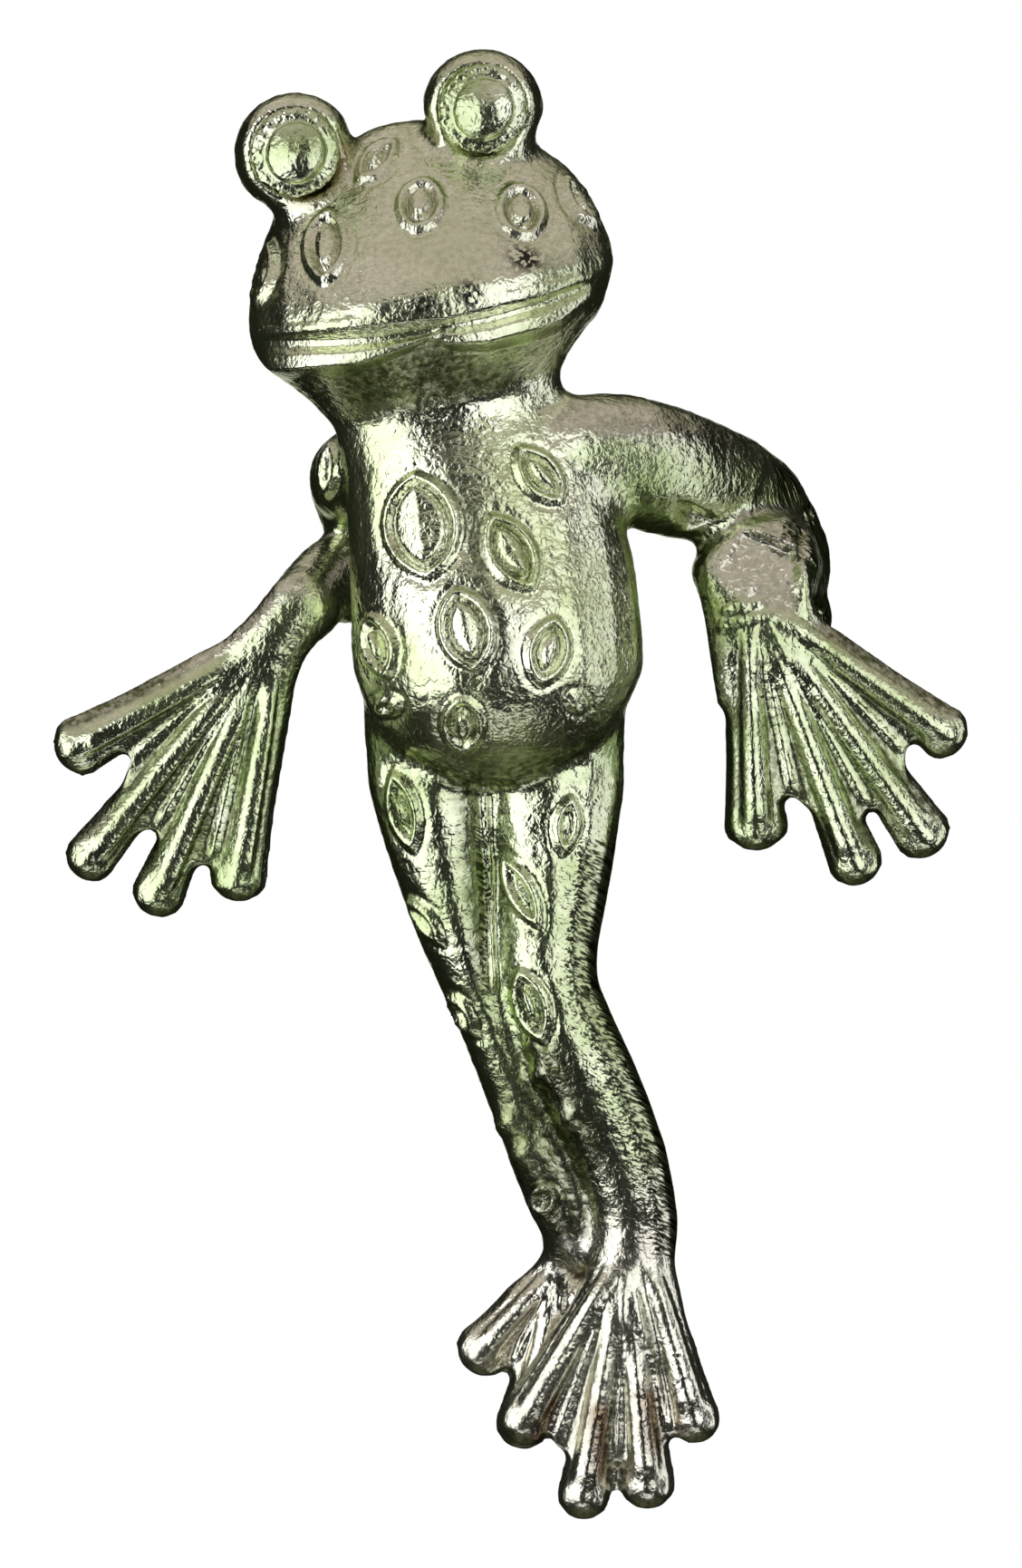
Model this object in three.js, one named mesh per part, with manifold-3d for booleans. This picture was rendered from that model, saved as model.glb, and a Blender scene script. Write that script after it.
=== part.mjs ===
// Frog pot hugger: a cast metal frog that leans back against the outside of a plant pot.
// Its upper arms go back over the rim, the elbows drop inside, the forearms come forward again,
// and the webbed hands hang on the outside. The legs hang together, one foot over the other.
// Millimetres, +Z up, the frog faces -Y, and left is the frog's own left (+X).
// The origin is on the rim: z = 0 is the rim's top and y = 0 the pot's outer wall.
import * as THREE from "three";
import { mergeVertices } from "three/addons/utils/BufferGeometryUtils.js";
import Module from "manifold-3d";

// Fits
const CLEARANCE = 0.3; // gap left between a piece and what it seats on
const RIM_GAP = 12; // room for the pot's rim between the back and the elbows
const PEG_DIAMETER = 3.6; // dowels of the neck, shoulders and hips
const SHOULDER_PEG = 7; // length of a shoulder dowel, from inside the arm
const HIP_PEG_RISE = 4; // how far a hip dowel goes up past the top of the thigh
const HIP_PEG_DROP = 2; // and down past the thigh's second section
const ANKLE_PEG_DIAMETER = 2.2;
const ANKLE_PEG_DEPTH = 3;
const WRIST_GAP = 0.3; // slit in front of which a hand bends
const HINGE_STANDOFF = 0.15; // the bend's axis lies this far in front of the wrist

// Head
const HEAD_TILT = 10; // degrees, the frog's left side higher
const HEAD_AT = [-3.7, 0, 20.9]; // middle of the mouth line
const EYE_DIAMETER = 5;
const EYELID_DIAMETER = 8.2;
const EYE_PROUD = 2.9; // from the middle of the eyelid bulb forward to the middle of the eye
const LEFT_EYELID = [5.6, -8, 13.1]; // middles of the eyelid bulbs, in the head's own frame
const RIGHT_EYELID = [-7.5, -8, 12.4];
const LEFT_BROW = [5.2, -8.6, 9.2]; // where the bulbs run down into the forehead
const RIGHT_BROW = [-7, -8.4, 8.6];
const BROW_DIAMETER = 5.2;
const NECK_TOP = [0, -8, 1]; // upper end of the neck dowel, in the head's own frame
const NECK_FOOT = [-2.6, -7.5, 12.5]; // its lower end, in the torso
const MOUTH_GROOVE = 1; // diameter of the groove between the lips
const MOUTH_DROP = 1.7; // the middle of the mouth hangs this far below its corners
const MOUTH_TURNS = [12, 35, 62, 90, 118, 145, 168]; // degrees round the front of the head

// Digits
const WEB_THICKNESS = 1.7;
const FINGER_DEPTH = 3;
const TOE_DEPTH = 3.4;
const PALM_STANDOFF = 0.25; // from the pot's wall to the back of the fingers
// Along a digit: share of its length, and half width and half depth as shares of its own
const DIGIT_PROFILE = [
  [0.04, 0.42, 0.42],
  [0.35, 0.43, 0.47],
  [0.7, 0.44, 0.46],
  [1, 0.52, 0.46],
];

// Facets
const LIMB_SIDES = 12;
const BODY_SIDES = 20;
const DIGIT_SIDES = 8;
const PEG_SIDES = 12;
const BALL_SIDES = 18;
const BALL_ROWS = 12;
const STEPS = 2; // rings from one station to the next
const END_RINGS = 2; // rings in a rounded end
const ROUND_END = 1; // length of a limb's end, as a share of its smaller half width
const FLAT_END = 0.2; // the same for the head and torso

// Larger than the frog, for the pot's wall and for parting planes
const LONG = 200;
const SAME_POINT = 1e-4; // corners closer than this are one

// Head sections, from the throat up: height above the mouth, middle, half width, front and back.
const HEAD_SECTIONS = [
  [-6.5, -0.3, 8, -12, -2],
  [-5, -0.5, 8.5, -14, -1.6],
  [-3.2, -0.5, 10, -16.6, -1],
  [-1.5, -0.4, 11.7, -18.9, -0.5],
  [0, -0.3, 12.3, -19.7, 0],
  [1.5, 0, 12.6, -19.4, 0.5],
  [4, 0.2, 12.2, -17.6, 1],
  [7, 0.4, 11, -14.8, 1.5],
  [9.6, 0.3, 9.4, -12, 1.5],
  [11.6, 0, 7, -9.3, 0.5],
  [12.8, 0, 3.5, -7, -1.5],
];

// Torso sections, from the neck down: height, middle, half width, front and back.
const TORSO_SECTIONS = [
  [15.5, -2.4, 8.2, -11.8, -2.2],
  [13, -2, 8.6, -12.6, -1.2],
  [10, -0.8, 9.2, -13.6, 0.3],
  [5, 0, 9.7, -14.9, 0.8],
  [0.5, 0.4, 9.9, -16.4, 1],
  [-3, 0.6, 9.9, -17, 0.8],
  [-6, 0.5, 9, -16.4, 0.5],
  [-8.6, 0.4, 7.2, -14.6, -0.6],
  [-10.5, 0.3, 4.4, -12, -2.4],
];

// Limbs: each station is x, y, z, half width and half depth of the section there.
// Along the rim, y is a share of the rim's gap, so the arms always span the rim.
const rim = (share) => RIM_GAP * share;
const LEFT_UPPER_ARM = [
  [4.5, -7, 11, 4.6, 4.6],
  [9.5, -4, 10.8, 4.2, 4.6],
  [14.3, rim(0.125), 9.6, 3.9, 4.3],
  [18.3, rim(0.67), 7.6, 3.6, 4],
  [20.2, rim(1) + 1.5, 4, 3.5, 3.8],
];
const LEFT_FOREARM = [
  [20.2, rim(1) + 2.5, 3, 3.4, 3.8],
  [19.4, rim(0.67), 3.8, 3.6, 4.3],
  [18.3, rim(0.17), 3.8, 4.4, 4],
  [18.1, -1, 3, 4.1, 3.2],
];
const LEFT_WRIST = [
  [18.1, -1.7, 2.6, 4, 2.2],
  [18.5, -2, 0.4, 4, 1.9],
  [18.9, -2.1, -2.2, 4.2, 1.6],
  [19.6, -1.75, -4.8, 4.4, 1],
];
const LEFT_ELBOW = [20.2, rim(1) + 3.6, 0.4];
const RIGHT_UPPER_ARM = [
  [-5.3, -7, 10, 3.8, 3.8],
  [-8.5, -2.6, 10, 3.4, 3.5],
  [-9.2, rim(0.33), 9.3, 3.1, 3.2],
  [-8.4, rim(0.83), 7.2, 3.2, 3.4],
  [-6.9, rim(1) + 2, 3.5, 3.3, 3.4],
];
const RIGHT_FOREARM = [
  [-6.6, rim(1) + 2.5, 2.6, 3.2, 3.2],
  [-8.7, rim(0.67), 3.5, 2.8, 3.7],
  [-11.2, rim(0.17), 2.6, 2.5, 3],
  [-12.5, -0.8, 1.2, 2.5, 2.5],
];
const RIGHT_WRIST = [
  [-12.4, -1.7, 1.3, 2.5, 2.1],
  [-14.4, -2.1, -0.9, 2.6, 1.9],
  [-16, -2.1, -3.3, 3.2, 1.6],
  [-17.3, -1.75, -5.3, 3.9, 1],
];
const RIGHT_ELBOW = [-6, rim(1) + 3.6, 0.2];
const ELBOW_DIAMETER = 7;
const LEFT_LEG = [
  [4, -5.5, -6, 5.5, 4.6],
  [4.1, -5.6, -11, 5.2, 4.6],
  [4.3, -5.8, -16.5, 4.2, 4.2],
  [3.9, -6.2, -22, 3.6, 3.9],
  [4.2, -6.4, -25.5, 3.4, 3.8],
  [6.6, -6, -31.4, 3.5, 3.6],
  [9, -5.4, -37, 3.2, 3.2],
  [10, -5.2, -41.5, 2.9, 2.8],
  [10, -5.4, -43, 2.9, 2.6],
];
const RIGHT_LEG = [
  [-3.6, -5.3, -6, 5.3, 4.6],
  [-3.6, -5.3, -11, 4.7, 4.5],
  [-3, -5.2, -16.5, 3.6, 4],
  [-1.7, -5, -22, 2.8, 3.6],
  [-0.1, -4.6, -26.4, 2.4, 3.3],
  [2.1, -4.2, -31.4, 2.6, 3],
  [4.2, -3.8, -37, 2.6, 2.8],
  [5.7, -3.4, -41.3, 2.4, 2.5],
  [5.9, -3.2, -42.5, 2.2, 2.3],
];

// Hands and feet: digits and webs fan out from one point at the wrist or ankle. For each digit, its
// length, its width, how far its root lies beside that point, and its turn from straight down
// towards the outside, in degrees. For each web, its reach and turn.
const LEFT_HAND = {
  at: [18.1, 1.5],
  lengths: [17.9, 21.3, 21.9, 17.9],
  widths: [4.4, 3.7, 3.9, 3.7],
  roots: [-0.4, 0, 0, 0],
  turns: [2.2, 21.2, 35.8, 54.8],
  reaches: [13.9, 16.5, 14.9],
  webTurns: [11.5, 28.9, 44.4],
};
const RIGHT_HAND = {
  at: [-15.7, -1.9],
  lengths: [18, 20.2, 20.3, 16.3],
  widths: [3.9, 3.6, 3.5, 4.1],
  roots: [1.2, 0.3, 0, 0],
  turns: [-9.8, -23.4, -39.1, -61.6],
  reaches: [15.2, 14.3, 11.7],
  webTurns: [-12.9, -30, -49.5],
};
const LEFT_FOOT = {
  at: [9.3, -42.9],
  lengths: [15.5, 18.9, 18.1, 13.9],
  widths: [3.7, 3.5, 3.7, 3.4],
  roots: [0, 0, 0, 1.4],
  turns: [-30.2, -9.6, 5.4, 16],
  reaches: [14.2, 14.6, 13.4],
  webTurns: [-20, -2, 13],
};
const RIGHT_FOOT = {
  at: [5.1, -43.9],
  lengths: [10.2, 13.4, 13.5, 11],
  widths: [3.9, 3.7, 3.7, 3.7],
  roots: [0, 0, 0, 0],
  turns: [-42, -14.1, 8, 26],
  reaches: [8.2, 11.2, 10.6],
  webTurns: [-26, -3, 17],
};
const LEFT_FOOT_Y = -6.4; // the left foot hangs in front
const LEFT_INSTEP = [
  [9.8, -5.5, -43.2, 2.9, 2.5],
  [9.7, -6.2, -46.5, 3.8, 2],
  [9.4, -6.4, -50, 4.6, 1.5],
];
const RIGHT_FOOT_Y = -2.1;
const LEFT_HAND_TURN = 29; // degrees from straight down towards the outside
const RIGHT_HAND_TURN = -38;

const wasm = await Module();
wasm.setup();

// A closed three.js geometry as a solid that can be joined and cut.
function solid(geometry) {
  const bare = geometry.clone();
  bare.deleteAttribute("normal");
  bare.deleteAttribute("uv");
  const merged = mergeVertices(bare, SAME_POINT);
  const vertProperties = new Float32Array(merged.getAttribute("position").array);
  const triVerts = new Uint32Array(merged.getIndex().array);
  return new wasm.Manifold(new wasm.Mesh({ numProp: 3, vertProperties, triVerts }));
}

const vector = (numbers) => new THREE.Vector3(...numbers);
const degrees = THREE.MathUtils.degToRad;
const join = (...forms) => forms.reduce((whole, form) => whole.add(form));
const cut = (form, ...tools) => tools.reduce((rest, tool) => rest.subtract(tool), form);

// A limb of oval sections along a smooth line through its stations, with rounded ends.
// The sections' depth lies along `deep` as far as the line lets it, and the sections lie square
// to the line, or to `facing` where that is given.
function sweep(stations, deep, sides, grow = 0, facing = null) {
  const line = new THREE.CatmullRomCurve3(stations.map((s) => new THREE.Vector3(s[0], s[1], s[2])));
  const sizes = new THREE.CatmullRomCurve3(stations.map((s) => new THREE.Vector3(s[3], s[4], 0)));
  const rings = [];
  const endLength = (size) => Math.min(size.x, size.y) * (facing ? FLAT_END : ROUND_END);
  const addRing = (share, shift, scale) => {
    const tangent = facing ?? line.getTangent(share);
    const across = new THREE.Vector3().crossVectors(deep, tangent).normalize();
    const depth = new THREE.Vector3().crossVectors(tangent, across);
    const size = sizes.getPoint(share).addScalar(grow);
    const middle = line.getPoint(share).addScaledVector(tangent, shift * endLength(size));
    across.multiplyScalar(size.x * scale);
    depth.multiplyScalar(size.y * scale);
    rings.push({ middle, across, depth });
  };
  for (let k = 1; k <= END_RINGS; k += 1) {
    const angle = (k / (END_RINGS + 1)) * (Math.PI / 2);
    addRing(0, -Math.cos(angle), Math.sin(angle));
  }
  const last = (stations.length - 1) * STEPS;
  for (let k = 0; k <= last; k += 1) {
    addRing(k / last, 0, 1);
  }
  for (let k = END_RINGS; k >= 1; k -= 1) {
    const angle = (k / (END_RINGS + 1)) * (Math.PI / 2);
    addRing(1, Math.cos(angle), Math.sin(angle));
  }
  const pole = (share, way) => {
    const size = sizes.getPoint(share).addScalar(grow);
    const tangent = facing ?? line.getTangent(share);
    return line.getPoint(share).addScaledVector(tangent, way * endLength(size));
  };
  return solid(skin(rings, sides, pole(0, -1), pole(1, 1)));
}

// Triangles over a row of rings, closed by a point at each end.
function skin(rings, sides, start, end) {
  const points = [start];
  for (const ring of rings) {
    for (let k = 0; k < sides; k += 1) {
      const angle = (k / sides) * 2 * Math.PI;
      points.push(
        ring.middle
          .clone()
          .addScaledVector(ring.across, Math.cos(angle))
          .addScaledVector(ring.depth, Math.sin(angle)),
      );
    }
  }
  points.push(end);
  const index = [];
  const at = (row, k) => 1 + row * sides + (k % sides);
  for (let k = 0; k < sides; k += 1) {
    index.push(0, at(0, k + 1), at(0, k));
    index.push(points.length - 1, at(rings.length - 1, k), at(rings.length - 1, k + 1));
    for (let row = 0; row + 1 < rings.length; row += 1) {
      index.push(at(row, k), at(row, k + 1), at(row + 1, k + 1));
      index.push(at(row, k), at(row + 1, k + 1), at(row + 1, k));
    }
  }
  return new THREE.BufferGeometry().setFromPoints(points).setIndex(index);
}

const UP = new THREE.Vector3(0, 0, 1);
const DOWN = new THREE.Vector3(0, 0, -1);
const BACK = new THREE.Vector3(0, 1, 0);

// A ball, for the elbows, eyelids and eyes.
function ball(middle, diameter, grow = 0) {
  const geometry = new THREE.SphereGeometry(diameter / 2 + grow, BALL_SIDES, BALL_ROWS);
  geometry.translate(middle.x, middle.y, middle.z);
  return solid(geometry);
}

// A dowel from one point to another. Its socket is the same dowel grown by the clearance.
function dowel(from, to, diameter, grow = 0) {
  const along = to.clone().sub(from);
  const radius = diameter / 2 + grow;
  const geometry = new THREE.CylinderGeometry(radius, radius, along.length() + 2 * grow, PEG_SIDES);
  geometry.applyQuaternion(new THREE.Quaternion().setFromUnitVectors(BACK, along.clone().normalize()));
  const middle = from.clone().lerp(to, 0.5);
  geometry.translate(middle.x, middle.y, middle.z);
  return solid(geometry);
}

// Everything past a plane, as a block to cut away.
function beyond(point, normal) {
  const geometry = new THREE.BoxGeometry(LONG, LONG, LONG);
  geometry.translate(0, 0, LONG / 2);
  geometry.applyQuaternion(new THREE.Quaternion().setFromUnitVectors(UP, normal));
  geometry.translate(point.x, point.y, point.z);
  return solid(geometry);
}

// The pot's wall below its rim.
function potRim() {
  const geometry = new THREE.BoxGeometry(LONG, RIM_GAP, LONG);
  geometry.translate(0, RIM_GAP / 2, -LONG / 2);
  return solid(geometry);
}

// A webbed hand or foot: rounded digits on a thin web, all fanning out from one point.
function paw(fan, y, depth, grow = 0) {
  const [fromX, fromZ] = fan.at;
  const spot = (length, turn, root = 0) => {
    const angle = degrees(turn);
    return [fromX + root + length * Math.sin(angle), fromZ - length * Math.cos(angle)];
  };
  const digits = fan.lengths.map((length, k) => {
    const width = fan.widths[k];
    const tip = length - width / 2;
    const stations = DIGIT_PROFILE.map(([share, wide, deep]) => {
      const [x, z] = spot(tip * share, fan.turns[k], fan.roots[k]);
      return [x, y, z, width * wide, depth * deep];
    });
    return sweep(stations, BACK, DIGIT_SIDES, grow);
  });
  const edge = [[fromX, fromZ + fan.widths[0] / 2]];
  fan.lengths.forEach((length, k) => {
    edge.push(spot(length - fan.widths[k], fan.turns[k], fan.roots[k]));
    if (k < fan.reaches.length) {
      edge.push(spot(fan.reaches[k], fan.webTurns[k]));
    }
  });
  const outline = new THREE.Shape(edge.map(([x, z]) => new THREE.Vector2(x, z)));
  const thickness = WEB_THICKNESS + 2 * grow;
  const web = new THREE.ExtrudeGeometry(outline, { depth: thickness, bevelEnabled: false });
  web.rotateX(Math.PI / 2);
  web.translate(0, y + thickness / 2, 0);
  return join(solid(web), ...digits);
}

// Head, in its own tilted frame
const headFrame = new THREE.Matrix4()
  .makeRotationY(-degrees(HEAD_TILT))
  .setPosition(...HEAD_AT);
const inHead = (x, y, h) => new THREE.Vector3(x, y, h).applyMatrix4(headFrame);
const EYELIDS = { left: inHead(...LEFT_EYELID), right: inHead(...RIGHT_EYELID) };
const eyeMiddle = (side) => EYELIDS[side].clone().add(new THREE.Vector3(0, -EYE_PROUD, 0));
const eye = (side, grow = 0) => ball(eyeMiddle(side), EYE_DIAMETER, grow);
const headStations = HEAD_SECTIONS.map(([h, x, half, front, back]) => {
  const middle = inHead(x, (front + back) / 2, h);
  return [...middle.toArray(), half, (back - front) / 2];
});
const headUp = UP.clone().transformDirection(headFrame);
const neckTop = inHead(...NECK_TOP);
const neckFoot = vector(NECK_FOOT);

// The groove between the lips, on the head's own surface from corner to corner
function headSection(h) {
  const above = HEAD_SECTIONS.findIndex((section) => section[0] >= h);
  const low = HEAD_SECTIONS[above - 1];
  const high = HEAD_SECTIONS[above];
  const share = (h - low[0]) / (high[0] - low[0]);
  return low.map((value, k) => THREE.MathUtils.lerp(value, high[k], share));
}
const mouthStations = MOUTH_TURNS.map((turn) => {
  const across = Math.cos(degrees(turn));
  const [h, x, half, front, back] = headSection(-MOUTH_DROP * (1 - across ** 4));
  const y = (front + back) / 2 - ((back - front) / 2) * Math.sin(degrees(turn));
  return [...inHead(x + half * across, y, h).toArray(), MOUTH_GROOVE / 2, MOUTH_GROOVE / 2];
});
const mouth = sweep(mouthStations, headUp, DIGIT_SIDES);

const torsoStations = TORSO_SECTIONS.map(([z, x, half, front, back]) => [
  x,
  (front + back) / 2,
  z,
  half,
  (back - front) / 2,
]);
const torsoForm = (grow) => sweep(torsoStations, BACK, BODY_SIDES, grow, DOWN);

// Dowels that start inside a limb and end inside the torso
const stationAt = (stations, k) => vector(stations[k].slice(0, 3));
const neckPeg = (grow) => dowel(neckTop, neckFoot, PEG_DIAMETER, grow);
const shoulderPeg = (stations, grow) => {
  const inArm = stationAt(stations, 1);
  const inward = stationAt(stations, 0).sub(inArm).normalize();
  return dowel(inArm, inArm.clone().addScaledVector(inward, SHOULDER_PEG), PEG_DIAMETER, grow);
};
const hipPeg = (stations, grow) => {
  const inLeg = stationAt(stations, 1).add(new THREE.Vector3(0, 0, -HIP_PEG_DROP));
  const inTorso = stationAt(stations, 0).add(new THREE.Vector3(0, 0, HIP_PEG_RISE));
  return dowel(inLeg, inTorso, PEG_DIAMETER, grow);
};

const wall = beyond(new THREE.Vector3(), BACK);
const rimBlock = potRim();
const torso = cut(
  torsoForm(0),
  wall,
  neckPeg(CLEARANCE),
  shoulderPeg(LEFT_UPPER_ARM, CLEARANCE),
  shoulderPeg(RIGHT_UPPER_ARM, CLEARANCE),
  hipPeg(LEFT_LEG, CLEARANCE),
  hipPeg(RIGHT_LEG, CLEARANCE),
);
const torsoSeat = torsoForm(CLEARANCE);

// Under each bulb, a foot that thins towards the forehead
const brow = (lid, foot) => {
  const middle = lid.clone().lerp(foot, 0.5);
  const radii = [EYELID_DIAMETER * 0.47, (EYELID_DIAMETER + BROW_DIAMETER) / 4, BROW_DIAMETER / 2];
  return sweep(
    [lid, middle, foot].map((place, k) => [...place.toArray(), radii[k], radii[k]]),
    BACK,
    LIMB_SIDES,
  );
};
const headForm = join(
  sweep(headStations, BACK, BODY_SIDES, 0, headUp),
  ball(EYELIDS.left, EYELID_DIAMETER),
  ball(EYELIDS.right, EYELID_DIAMETER),
  brow(EYELIDS.left, inHead(...LEFT_BROW)),
  brow(EYELIDS.right, inHead(...RIGHT_BROW)),
);
const head = join(
  cut(headForm, torsoSeat, mouth, eye("left", CLEARANCE), eye("right", CLEARANCE)),
  neckPeg(0),
);

// Arms: from the shoulder over the rim to the elbow, and forward again to the wrist
const handWay = (turn) => new THREE.Vector3(Math.sin(degrees(turn)), 0, -Math.cos(degrees(turn)));
function arm(upperArm, forearm, wrist, elbow, turn) {
  const form = join(
    sweep(upperArm, UP, LIMB_SIDES),
    sweep(forearm, UP, LIMB_SIDES),
    sweep(wrist, BACK, LIMB_SIDES),
    ball(vector(elbow), ELBOW_DIAMETER),
  );
  const handSide = beyond(stationAt(wrist, 1), handWay(turn)).subtract(wall);
  return join(cut(form, torsoSeat, rimBlock, handSide), shoulderPeg(upperArm, 0));
}
function hand(fan, wrist, turn) {
  const way = handWay(turn);
  const y = -PALM_STANDOFF - FINGER_DEPTH / 2;
  const form = join(paw(fan, y, FINGER_DEPTH), sweep(wrist, BACK, LIMB_SIDES));
  const start = stationAt(wrist, 1).addScaledVector(way, WRIST_GAP);
  return cut(form, wall, beyond(start, way.negate()));
}

// Legs and feet: the left leg and foot lie in front, so the right ones are cut to clear them
const leg = (stations, grow = 0) => sweep(stations, BACK, LIMB_SIDES, grow);
const anklePeg = (stations, fan, y, grow) => {
  const inLeg = stationAt(stations, stations.length - 2);
  const toeward = new THREE.Vector3(fan.at[0], y, fan.at[1] - ANKLE_PEG_DEPTH);
  return dowel(inLeg, toeward, ANKLE_PEG_DIAMETER, grow);
};
const leftAnklePeg = (grow) => anklePeg(LEFT_LEG, LEFT_FOOT, LEFT_FOOT_Y, grow);
const rightAnklePeg = (grow) => anklePeg(RIGHT_LEG, RIGHT_FOOT, RIGHT_FOOT_Y, grow);
const leftLeg = join(cut(leg(LEFT_LEG), torsoSeat), hipPeg(LEFT_LEG, 0), leftAnklePeg(0));
const rightLeg = cut(
  join(cut(leg(RIGHT_LEG), torsoSeat), hipPeg(RIGHT_LEG, 0), rightAnklePeg(0)),
  leg(LEFT_LEG, CLEARANCE),
);
const foot = (fan, y, grow = 0) => paw(fan, y, TOE_DEPTH, grow);
const leftFootForm = (grow = 0) =>
  join(foot(LEFT_FOOT, LEFT_FOOT_Y, grow), sweep(LEFT_INSTEP, BACK, LIMB_SIDES, grow));
const leftFoot = cut(
  leftFootForm(),
  leg(LEFT_LEG, CLEARANCE),
  leftAnklePeg(CLEARANCE),
  leg(RIGHT_LEG, CLEARANCE),
);
const rightFoot = cut(
  foot(RIGHT_FOOT, RIGHT_FOOT_Y),
  leg(RIGHT_LEG, CLEARANCE),
  rightAnklePeg(CLEARANCE),
  leg(LEFT_LEG, CLEARANCE),
  leftAnklePeg(CLEARANCE),
  leftFootForm(CLEARANCE),
);

// Scene graph: every piece turns about its own joint, and hands and eyes hang under their limbs
const frog = new THREE.Group();
function limbGroup(at) {
  const group = new THREE.Group();
  group.position.copy(at);
  frog.add(group);
  return group;
}
function place(name, form, at, group, material) {
  const { vertProperties, triVerts } = form.getMesh();
  const geometry = new THREE.BufferGeometry();
  geometry.setAttribute("position", new THREE.BufferAttribute(new Float32Array(vertProperties), 3));
  geometry.setIndex(new THREE.BufferAttribute(new Uint32Array(triVerts), 1));
  geometry.translate(-at.x, -at.y, -at.z);
  geometry.computeVertexNormals();
  const mesh = new THREE.Mesh(geometry, new THREE.MeshStandardMaterial(material));
  mesh.name = name;
  mesh.position.copy(at).sub(group.position);
  group.add(mesh);
}
const GREEN_SILVER = { color: 0xa3a98f, roughness: 0.25, metalness: 1 };
const POLISHED_EYE = { color: 0xb9bfa6, roughness: 0.12, metalness: 1 };
const WARM_NICKEL = { color: 0xbdb8a2, roughness: 0.25, metalness: 1 };

const body = limbGroup(new THREE.Vector3());
place("torso", torso, new THREE.Vector3(), body, GREEN_SILVER);

const headGroup = limbGroup(neckFoot);
place("head", head, neckFoot, headGroup, GREEN_SILVER);
place("left_eye", eye("left"), eyeMiddle("left"), headGroup, POLISHED_EYE);
place("right_eye", eye("right"), eyeMiddle("right"), headGroup, POLISHED_EYE);

// A hand bends about a line just in front of its wrist.
const hinge = (wrist) => stationAt(wrist, 1).add(new THREE.Vector3(0, -wrist[1][4] - HINGE_STANDOFF, 0));
const ARMS = {
  left: [LEFT_UPPER_ARM, LEFT_FOREARM, LEFT_WRIST, LEFT_ELBOW, LEFT_HAND_TURN, LEFT_HAND],
  right: [RIGHT_UPPER_ARM, RIGHT_FOREARM, RIGHT_WRIST, RIGHT_ELBOW, RIGHT_HAND_TURN, RIGHT_HAND],
};
for (const [side, [upperArm, forearm, wrist, elbow, turn, fan]] of Object.entries(ARMS)) {
  const group = limbGroup(stationAt(upperArm, 0));
  place(`${side}_arm`, arm(upperArm, forearm, wrist, elbow, turn), group.position, group, GREEN_SILVER);
  place(`${side}_hand`, hand(fan, wrist, turn), hinge(wrist), group, GREEN_SILVER);
}

const LEGS = {
  left: [LEFT_LEG, leftLeg, leftFoot],
  right: [RIGHT_LEG, rightLeg, rightFoot],
};
for (const [side, [stations, legSolid, footSolid]] of Object.entries(LEGS)) {
  const group = limbGroup(stationAt(stations, 0));
  place(`${side}_leg`, legSolid, group.position, group, GREEN_SILVER);
  place(`${side}_foot`, footSolid, stationAt(stations, stations.length - 1), group, WARM_NICKEL);
}

export default frog;
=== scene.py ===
"""Frog pot hugger: a cast and plated metal frog that hangs on the rim of a plant pot."""
import math

import bpy
import numpy as np
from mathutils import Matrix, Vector
from mathutils.bvhtree import BVHTree


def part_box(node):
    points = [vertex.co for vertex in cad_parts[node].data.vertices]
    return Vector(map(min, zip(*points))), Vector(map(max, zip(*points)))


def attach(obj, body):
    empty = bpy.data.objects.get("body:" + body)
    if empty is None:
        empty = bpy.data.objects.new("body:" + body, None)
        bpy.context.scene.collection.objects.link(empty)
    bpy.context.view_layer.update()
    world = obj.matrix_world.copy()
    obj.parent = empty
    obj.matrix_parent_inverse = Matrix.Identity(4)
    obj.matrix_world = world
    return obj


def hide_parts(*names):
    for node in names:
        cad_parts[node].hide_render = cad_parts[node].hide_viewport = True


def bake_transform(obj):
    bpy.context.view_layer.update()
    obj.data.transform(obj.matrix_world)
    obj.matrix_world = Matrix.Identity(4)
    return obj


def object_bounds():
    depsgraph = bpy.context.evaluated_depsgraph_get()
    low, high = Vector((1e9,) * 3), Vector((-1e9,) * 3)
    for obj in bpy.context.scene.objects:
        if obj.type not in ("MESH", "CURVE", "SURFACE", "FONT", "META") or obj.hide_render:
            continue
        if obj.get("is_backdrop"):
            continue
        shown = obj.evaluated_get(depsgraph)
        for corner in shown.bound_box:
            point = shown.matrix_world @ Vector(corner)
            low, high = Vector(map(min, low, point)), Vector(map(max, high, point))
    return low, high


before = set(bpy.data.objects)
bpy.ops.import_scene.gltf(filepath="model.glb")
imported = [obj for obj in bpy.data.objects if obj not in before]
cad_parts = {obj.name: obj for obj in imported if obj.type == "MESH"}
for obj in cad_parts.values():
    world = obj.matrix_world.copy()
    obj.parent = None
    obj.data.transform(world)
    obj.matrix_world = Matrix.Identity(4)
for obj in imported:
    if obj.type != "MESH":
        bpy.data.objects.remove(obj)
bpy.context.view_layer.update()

# The casting: the frog leaves its mould in one pour of zinc, so its limbs run into each other.
# The solids are copied, swelled until they meet, skinned over together, rubbed smooth and brought
# back to size. Each section below then takes its own share of this skin.
MM = 0.001
CAST_NODES = (
    "torso", "head", "left_arm", "right_arm", "left_hand", "right_hand",
    "left_leg", "right_leg", "left_foot", "right_foot",
)
SAME_POINT = 0.001 * MM
SWELL = 0.24 * MM  # closes the parting gaps between the solids
SKIN_GRID = 0.2 * MM  # finer than any line of the ornament
FAR_GAP = 1.5 * MM  # beyond this, a solid has no claim on the skin
WRIST_OVERLAP = 2 * MM  # a hand's piece takes this much of the forearm with it
BORDER_EVEN = 6  # passes that even out the border between two pieces
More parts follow.
